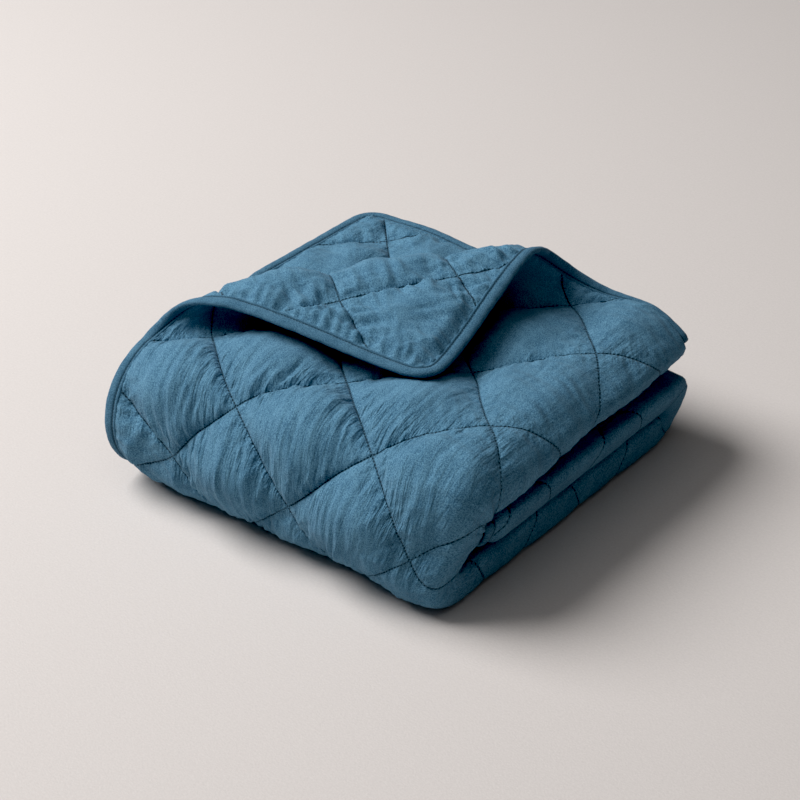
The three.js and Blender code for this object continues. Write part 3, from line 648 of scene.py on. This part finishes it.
def brushed_weave():
    """A group that gives a brushed weave's shade, about 0 to 1, and its height in metres."""
    tree = bpy.data.node_groups.new("brushed_weave", "ShaderNodeTree")
    tree.interface.new_socket("Shade", in_out="OUTPUT", socket_type="NodeSocketFloat")
    tree.interface.new_socket("Height", in_out="OUTPUT", socket_type="NodeSocketFloat")
    cloth = node(tree, "ShaderNodeUVMap", uv_map="cloth").outputs["UV"]
    shade, height = WEAVE_SHADE_START, 0.0
    for row in WEAVE_GRAINS:
        value = grain(tree, cloth, row["scale"], row["detail"])
        shade = math(tree, "MULTIPLY_ADD", value, row["shade"], shade)
        height = math(tree, "MULTIPLY_ADD", value, row["height"], height)
    output = node(tree, "NodeGroupOutput")
    tree.links.new(shade, output.inputs["Shade"])
    tree.links.new(height, output.inputs["Height"])
    return tree


WEAVE = brushed_weave()

# The seams' grooves, the gathers beside them and the drawn streaks that are too fine for the mesh
STITCH_PITCH = 4.2
# In a groove the colour is darkened by its shade share towards its deep level: painted shade in the
# seam's crevice.
GROOVE = {"width": 1.4, "beat": 0.4, "depth": 1.4, "shade": 0.9, "deep": 0.12}
GATHER = {"ripple": 6.0, "run": 12.0, "height": 3.4, "aside": 0.3}
STREAK = {"ripple": 7.0, "run": 45.0, "height": 4.4}
FOLD_DETAIL = 2.0


def quilt_relief():
    """A group for the quilting: how deep in a seam's groove a place is, and the gathers' height."""
    tree = bpy.data.node_groups.new("quilt_relief", "ShaderNodeTree")
    tree.interface.new_socket("Groove", in_out="OUTPUT", socket_type="NodeSocketFloat")
    tree.interface.new_socket("Height", in_out="OUTPUT", socket_type="NodeSocketFloat")
    cloth = node(tree, "ShaderNodeUVMap", uv_map="cloth").outputs["UV"]
    parts = node(tree, "ShaderNodeSeparateXYZ", {"Vector": cloth}).outputs
    across = math(tree, "SUBTRACT", parts["X"], MM * CROSSING_U)
    along = math(tree, "SUBTRACT", parts["Y"], MM * CROSSING_V)
    sums = [math(tree, way, across, along) for way in ("ADD", "SUBTRACT")]
    lines = [math(tree, "MULTIPLY", value, np.sqrt(0.5)) for value in sums]
    off = [math(tree, "PINGPONG", line, 0.5 * MM * SQUARE) for line in lines]
    grooves, gathers = [], []
    for own, other in ((0, 1), (1, 0)):
        stitches_on = math(tree, "MULTIPLY", lines[other], 2 * np.pi / (MM * STITCH_PITCH))
        beat = math(tree, "SINE", stitches_on)
        width = math(tree, "MULTIPLY_ADD", beat, MM * GROOVE["beat"], MM * GROOVE["width"])
        limits = {"Value": off[own], "From Max": width, "To Min": 1.0, "To Max": 0.0}
        walls = node(tree, "ShaderNodeMapRange", limits, interpolation_type="SMOOTHSTEP")
        grooves.append(walls.outputs["Result"])
        fade = math(tree, "EXPONENT", math(tree, "MULTIPLY", off[own], -METRE / GATHER["run"]))
        aside = math(tree, "MULTIPLY", lines[own], GATHER["aside"])
        seat = node(tree, "ShaderNodeCombineXYZ", {"X": lines[other], "Y": aside}).outputs["Vector"]
        ripple = grain(tree, seat, (METRE / GATHER["ripple"],) * 2, FOLD_DETAIL)
        gathers.append(math(tree, "MULTIPLY", fade, math(tree, "SUBTRACT", ripple, GRAIN_MIDDLE)))
    groove = math(tree, "MAXIMUM", *grooves)
    streak = grain(tree, cloth, (METRE / STREAK["ripple"], METRE / STREAK["run"]), FOLD_DETAIL)
    drawn = node(tree, "ShaderNodeAttribute", attribute_name="drawn").outputs["Fac"]
    height = math(tree, "MULTIPLY", math(tree, "ADD", *gathers), MM * GATHER["height"])
    streak = math(tree, "SUBTRACT", streak, GRAIN_MIDDLE)
    folds = math(tree, "MULTIPLY", streak, MM * STREAK["height"])
    height = math(tree, "MULTIPLY_ADD", folds, drawn, height)
    height = math(tree, "MULTIPLY_ADD", groove, -MM * GROOVE["depth"], height)
    output = node(tree, "NodeGroupOutput")
    tree.links.new(groove, output.inputs["Groove"])
    tree.links.new(height, output.inputs["Height"])
    return tree


CLOTH_SURFACE = {
    "Roughness": 0.93,
    "Specular IOR Level": 0.12,
    "Sheen Weight": 0.1,
    "Sheen Roughness": 0.5,
    "Sheen Tint": (0.75, 0.88, 1.0, 1.0),
}


def cloth_material(name, dark, light, relief=None):
    """Brushed cloth between two shades, with a soft nap that catches the light at its edges.
    It has painted shade in its seams: those of the quilt relief, or those the mesh marks."""
    material = bpy.data.materials.new(name)
    material.use_nodes = True
    tree = material.node_tree
    weave = node(tree, "ShaderNodeGroup", node_tree=WEAVE)
    shade, height = weave.outputs["Shade"], weave.outputs["Height"]
    if relief:
        quilt = node(tree, "ShaderNodeGroup", node_tree=relief)
        height = math(tree, "ADD", height, quilt.outputs["Height"])
        groove = quilt.outputs["Groove"]
    else:
        groove = node(tree, "ShaderNodeAttribute", attribute_name="painted_groove_shade").outputs["Fac"]
    colour = blend(tree, shade, (*dark, 1.0), (*light, 1.0))
    # Painted shade in the seams' grooves: the colour is darkened there towards the deep level.
    sunk = math(tree, "MULTIPLY", groove, GROOVE["shade"])
    deep = tuple(GROOVE["deep"] * value for value in dark)
    colour = blend(tree, sunk, colour, (*deep, 1.0))
    bump = node(tree, "ShaderNodeBump", {"Strength": 1.0, "Distance": 1.0, "Height": height})
    shader = tree.nodes["Principled BSDF"]
    for socket, value in CLOTH_SURFACE.items():
        shader.inputs[socket].default_value = value
    tree.links.new(colour, shader.inputs["Base Color"])
    tree.links.new(bump.outputs["Normal"], shader.inputs["Normal"])
    return material


PANEL_DARK, PANEL_LIGHT = (0.050, 0.134, 0.218), (0.138, 0.297, 0.424)
panel.data.materials.append(
    cloth_material("brushed_blue_cloth", PANEL_DARK, PANEL_LIGHT, quilt_relief())
)
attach(panel, "root")
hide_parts("quilted_panel")

# The quilting thread: one run of small stitches along each seam, on the sides that show.
# Each stitch dips into the cloth at both ends and is thinner there. Where the stack lies on the
# floor or a ply is out of sight, no stitches are made.
STITCH_LENGTH, STITCH_RADIUS, THREAD_SIDES = 3.0, 0.45, 5
STITCH_SHARES, STITCH_LIFTS, STITCH_TAPER = (0.0, 0.5, 1.0), (-0.35, 0.3, -0.35), (0.6, 1.0, 0.6)
STITCH_RIM_MARGIN, UP_PROBE = 1.0, 1.0
FACE_SHOWN_REACH, REVERSE_SHOWN_REACH = 90.0, 60.0
FLOOR_FROM, FLOOR_TO, FLOOR_ROLL = 0.97, 1.03, 30.0
THREAD_DARK, THREAD_LIGHT = (0.05, 0.13, 0.20), (0.11, 0.24, 0.34)


def stitch_object(name, places, face):
    """Stitches from their ends and middles, an array of stitches by 3 places in u, v, w lift."""
    ends = [surface(*places[:, k].T[:2], face, places[:, k, 2]) for k in range(3)]
    up = surface(*places[:, 1].T[:2], face, places[:, 1, 2] + UP_PROBE) - ends[1]
    return thread_mesh(name, ends, up, places[:, 1, :2])


def thread_mesh(name, ends, up, uv):
    """Stitches as short tubes through their ends and middles, in metres, each with its way up."""
    along = ends[2] - ends[0]
    along /= np.linalg.norm(along, axis=1, keepdims=True)
    across = np.cross(along, up)
    across /= np.linalg.norm(across, axis=1, keepdims=True)
    up = np.cross(across, along)
    angles = np.arange(THREAD_SIDES) * 2 * np.pi / THREAD_SIDES
    rings = []
    for end, thick in zip(ends, STITCH_TAPER):
        reach = MM * STITCH_RADIUS * thick
        rings += [end + reach * (np.cos(angle) * across + np.sin(angle) * up) for angle in angles]
    points = np.stack(rings, 1)
    n, count = THREAD_SIDES, len(rings)
    around = [
        (k * n + a, k * n + (a + 1) % n, (k + 1) * n + (a + 1) % n, (k + 1) * n + a)
        for k in range(len(ends) - 1)
        for a in range(n)
    ]
    faces = (np.arange(len(points)) * count)[:, None, None] + np.array(around)[None]
    return mesh_object(name, points.reshape(-1, 3), faces.reshape(-1, 4), np.repeat(uv, count, 0))


def seam_stitches(face):
    """The places of the stitches on all seams of one side."""
    reach = int((LENGTH + 2 * HALF_WIDTH) / SQUARE) + 2
    count = int(reach * SQUARE * 2 / STITCH_PITCH)
    found = []
    for direction in (0, 1):
        for line in range(-reach, reach + 1):
            at = (np.arange(count) - count / 2)[:, None] * STITCH_PITCH
            at = at + np.array(STITCH_SHARES) * STITCH_LENGTH
            fixed = np.full_like(at, line * SQUARE)
            p, q = (fixed, at) if direction == 0 else (at, fixed)
            u, v = CROSSING_U + (p + q) / np.sqrt(2), CROSSING_V + (p - q) / np.sqrt(2)
            lift = np.broadcast_to(STITCH_LIFTS, u.shape)
            inside = (rim_distance(u, v) > STITCH_RIM_MARGIN).all(1)
            found.append(np.stack((u, v, lift), -1)[inside])
    places = np.concatenate(found)
    u, v = places[:, 1, 0], places[:, 1, 1]
    if face:
        turned = layer_at(v)[2]
        raised = (turned < FLOOR_FROM * np.pi) | (turned > FLOOR_TO * np.pi) | (u < FLOOR_ROLL)
        outside = (u < FACE_SHOWN_REACH) | (v < BACK_END)
        return places[(u > -FACE_SHOWN_REACH) & outside & raised]
    out = past_fold(flat_x(u, TOP_ROLL), TOP_HEM_Y - v)
    return places[(out > REVERSE_SHOWN_FROM) & (v < FRONT_START + REVERSE_SHOWN_REACH)]


thread_cloth = cloth_material("blue_thread", THREAD_DARK, THREAD_LIGHT)
for side_name, on_face in (("face", True), ("reverse", False)):
    stitches = stitch_object("quilting_thread_" + side_name, seam_stitches(on_face), on_face)
    stitches.data.materials.append(thread_cloth)
    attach(stitches, "root")

# The edge binding: a strip of the same cloth folded over the rim and stitched down near its inner
# edge, so that it stands up in a round bead outside the line of stitches.
BINDING_STEP = 3.0
BINDING_SECTION = (
    (-2.2, 2.6),
    (-1.4, 3.7),
    (0.0, 4.1),
    (1.2, 3.6),
    (2.0, 2.7),
    (2.8, 3.5),
    (4.2, 4.2),
    (6.5, 4.5),
    (9.0, 4.4),
    (11.0, 3.8),
    (12.6, 2.8),
    (13.6, 1.5),
)
# Where the stitch line runs, out from the rim, and how wide the painted shade along its groove is
BINDING_STITCH_OUT, BINDING_GROOVE_WIDTH = 2.0, 0.9
BINDING_DARK, BINDING_LIGHT = (0.038, 0.106, 0.174), (0.104, 0.226, 0.328)
# Its unevenness in width and in fullness: how much, over what length, and the noise's seed
WIDTH_WAVES = ((0.035, 60.0, 81), (0.03, 13.0, 82))
PUCKER_WAVE, FULLNESS_WAVE = (0.10, 9.0, 83), (0.08, 31.0, 84)
WAVE_LANE, SIDE_WAVE_LANE = 0.5, 3.5


def rim_at(s):
    """The place on the panel's rim s millimetres round it, and the way out of the panel there."""
    side_u, side_v = PANEL_U - PANEL_CORNER, (PANEL_END - PANEL_START) / 2 - PANEL_CORNER
    centre_u = np.interp(s, RIM_KNOTS, side_u * np.array((-1, 1, 1, 1, 1, -1, -1, -1, -1)))
    centre_v = np.interp(s, RIM_KNOTS, side_v * np.array((-1, -1, -1, 1, 1, 1, 1, -1, -1)))
    angle = np.interp(s, RIM_KNOTS, np.pi / 2 * np.array((-1, -1, 0, 0, 1, 1, 2, 2, 3)))
    out_u, out_v = np.cos(angle), np.sin(angle)
    middle_v = (PANEL_START + PANEL_END) / 2
    return centre_u + PANEL_CORNER * out_u, middle_v + centre_v + PANEL_CORNER * out_v, out_u, out_v


RIM_SIDES = (
    2 * (PANEL_U - PANEL_CORNER),
    PANEL_CORNER * np.pi / 2,
    PANEL_END - PANEL_START - 2 * PANEL_CORNER,
)
RIM_KNOTS = np.concatenate(([0.0], np.cumsum([RIM_SIDES[k] for k in (0, 1, 2, 1, 0, 1, 2, 1)])))
RIM_LENGTH = RIM_KNOTS[-1]


def wave(s, size, lane=WAVE_LANE):
    """One unevenness of the binding, s millimetres round the rim."""
    amount, run, seed = size
    return amount * noise(s / run, lane, seed)


def on_binding(s, out, height):
    """A place on the binding, out from the rim and over the middle of the ply."""
    u, v, out_u, out_v = rim_at(s)
    wide = 1 + wave(s, WIDTH_WAVES[0]) + wave(s, WIDTH_WAVES[1])
    full = 1 + wave(s, PUCKER_WAVE, np.sign(height) * SIDE_WAVE_LANE) + wave(s, FULLNESS_WAVE)
    reach = np.where(out > BINDING_STITCH_OUT, out * wide, out)
    return place(u + reach * out_u, v + reach * out_v, height * full)


section = np.array(
    [(out, -height) for out, height in BINDING_SECTION]
    + [(BINDING_WIDTH, 0.0)]
    + [(out, height) for out, height in reversed(BINDING_SECTION)]
)
sections, sides = int(round(RIM_LENGTH / BINDING_STEP)), len(section)
rim_s = np.repeat(np.arange(sections) * RIM_LENGTH / sections, sides)
rim_out, rim_height = np.tile(section, (sections, 1)).T
here = (np.arange(sections) * sides)[:, None] + np.arange(sides)
beyond = np.roll(here, -1, 0)
ring = np.stack((here, beyond, np.roll(beyond, -1, 1), np.roll(here, -1, 1)), -1)
binding = mesh_object(
    "duvet_binding",
    on_binding(rim_s, rim_out, rim_height),
    ring.reshape(-1, 4),
    np.stack((rim_s, rim_out + rim_height), -1),
)
# Painted shade along the binding's stitch groove: this mask darkens the cloth's colour there.
off_groove = (rim_out - BINDING_STITCH_OUT) / BINDING_GROOVE_WIDTH
binding.data.attributes.new("painted_groove_shade", "FLOAT", "POINT").data.foreach_set(
    "value", np.exp(-(off_groove**2)).astype(np.float32)
)
binding.data.materials.append(cloth_material("blue_binding_cloth", BINDING_DARK, BINDING_LIGHT))
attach(binding, "root")
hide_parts("edge_binding")

# The binding's stitches: a line of small stitches in the groove at its inner edge, all the way
# round on both sides, in the same thread as the quilting.
EDGE_STITCH_PITCH, EDGE_STITCH_LENGTH, EDGE_STITCH_HEIGHT = 4.0, 2.9, 2.6
EDGE_STITCH_LIFTS, EDGE_UP_PROBE = (-0.4, 0.3, -0.4), 1.3


def in_groove(s, lift, side):
    """A place s round the rim in the groove of one side, lift over the stitches' height."""
    return on_binding(s, BINDING_STITCH_OUT, side * (EDGE_STITCH_HEIGHT + lift))


edge_s = np.arange(0, RIM_LENGTH - EDGE_STITCH_PITCH, EDGE_STITCH_PITCH)
edge_middle = edge_s + 0.5 * EDGE_STITCH_LENGTH
for side_name, side in (("face", 1), ("reverse", -1)):
    ends = [
        in_groove(edge_s + share * EDGE_STITCH_LENGTH, lift, side)
        for share, lift in zip(STITCH_SHARES, EDGE_STITCH_LIFTS)
    ]
    up = in_groove(edge_middle, EDGE_UP_PROBE, side) - ends[1]
    edge_uv = np.stack((edge_middle, 0 * edge_middle), -1)
    stitches = thread_mesh("binding_thread_" + side_name, ends, up, edge_uv)
    stitches.data.materials.append(thread_cloth)
    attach(stitches, "root")

# The floor: a wide sheet of pale, slightly warm paper with a very fine tooth and faint flecks.
# It lies just below the duvet, so that the two don't touch.
FLOOR_SIZE, FLOOR_Z = 14.0, -0.0004
FLOOR_COLOUR, FLECK_LEVELS = (0.70, 0.653, 0.628), (0.93, 1.07)
TOOTH_SCALE, TOOTH_DETAIL, TOOTH_STRENGTH, TOOTH_HEIGHT = 420.0, 2.0, 0.25, 0.0008
FLECK_SCALE, FLECK_DETAIL = 330.0, 4.0
PAPER_ROUGHNESS, PAPER_SPECULAR = 0.95, 0.1
bpy.ops.mesh.primitive_plane_add(size=FLOOR_SIZE, location=(0.0, 0.0, FLOOR_Z))
floor = bpy.context.object
floor.name = "floor"
paper = bpy.data.materials.new("pale_paper")
paper.use_nodes = True
paper_tree = paper.node_tree
paper_place = node(paper_tree, "ShaderNodeNewGeometry").outputs["Position"]
tooth, fleck = (
    node(
        paper_tree,
        "ShaderNodeTexNoise",
        {"Vector": paper_place, "Scale": scale, "Detail": detail},
    )
    for scale, detail in ((TOOTH_SCALE, TOOTH_DETAIL), (FLECK_SCALE, FLECK_DETAIL))
)
paper_bump = node(
    paper_tree,
    "ShaderNodeBump",
    {"Strength": TOOTH_STRENGTH, "Distance": TOOTH_HEIGHT, "Height": tooth.outputs["Fac"]},
)
paper_shader = paper_tree.nodes["Principled BSDF"]
dull, pale = ((*(level * value for value in FLOOR_COLOUR), 1.0) for level in FLECK_LEVELS)
tone = blend(paper_tree, fleck.outputs["Fac"], dull, pale)
paper_tree.links.new(tone, paper_shader.inputs["Base Color"])
paper_shader.inputs["Roughness"].default_value = PAPER_ROUGHNESS
paper_shader.inputs["Specular IOR Level"].default_value = PAPER_SPECULAR
paper_tree.links.new(paper_bump.outputs["Normal"], paper_shader.inputs["Normal"])
floor.data.materials.append(paper)

# The studio: one large soft light from the picture's left and a little behind, a weak one from
# above, a weak low fill from the right and a weak even room light. The camera stands at the photo's
# angle, and a small black level gives the dark parts the photo's colour.
LIGHTS = (
    {"name": "key", "azimuth": -70.0, "height": 50.0, "distance": 5.0, "size": 3.8, "power": 315.0},
    {"name": "top", "azimuth": 10.0, "height": 70.0, "distance": 3.0, "size": 3.0, "power": 13.0},
    {"name": "fill", "azimuth": 65.0, "height": 12.0, "distance": 4.0, "size": 3.0, "power": 5.5},
)
AIM = Vector((-0.0264, 0.0263, 0.060))
ROOM_LIGHT, ROOM_COLOUR = 0.055, (1.0, 0.98, 0.96, 1.0)
BLACK_LEVEL = 0.013
CAMERA_PLACE = (1.3652, -1.7876, 1.4283)
CAMERA_LENS, CAMERA_SENSOR = 99.0, 36.0
for row in LIGHTS:
    a, e = np.radians(row["azimuth"]), np.radians(row["height"])
    light = bpy.data.lights.new(row["name"], "AREA")
    light.shape, light.size, light.energy = "DISK", row["size"], row["power"]
    lamp = bpy.data.objects.new(row["name"], light)
    back = Vector((np.sin(a) * np.cos(e), -np.cos(a) * np.cos(e), np.sin(e)))
    lamp.location = AIM + back * row["distance"]
    lamp.rotation_mode = "QUATERNION"
    lamp.rotation_quaternion = (-back).to_track_quat("-Z", "Y")
    bpy.context.scene.collection.objects.link(lamp)
room = bpy.data.worlds.new("room")
room.use_nodes = True
room.node_tree.nodes["Background"].inputs["Color"].default_value = ROOM_COLOUR
room.node_tree.nodes["Background"].inputs["Strength"].default_value = ROOM_LIGHT
bpy.context.scene.world = room
view = bpy.context.scene.view_settings
view.view_transform = "Standard"
view.use_curve_mapping = True
view.curve_mapping.black_level = (BLACK_LEVEL,) * 3
view.curve_mapping.update()
camera = bpy.data.objects.new("camera", bpy.data.cameras.new("camera"))
camera.data.lens, camera.data.sensor_width = CAMERA_LENS, CAMERA_SENSOR
camera.location = CAMERA_PLACE
camera.rotation_mode = "QUATERNION"
camera.rotation_quaternion = (AIM - Vector(CAMERA_PLACE)).to_track_quat("-Z", "Y")
bpy.context.scene.collection.objects.link(camera)
bpy.context.scene.camera = camera
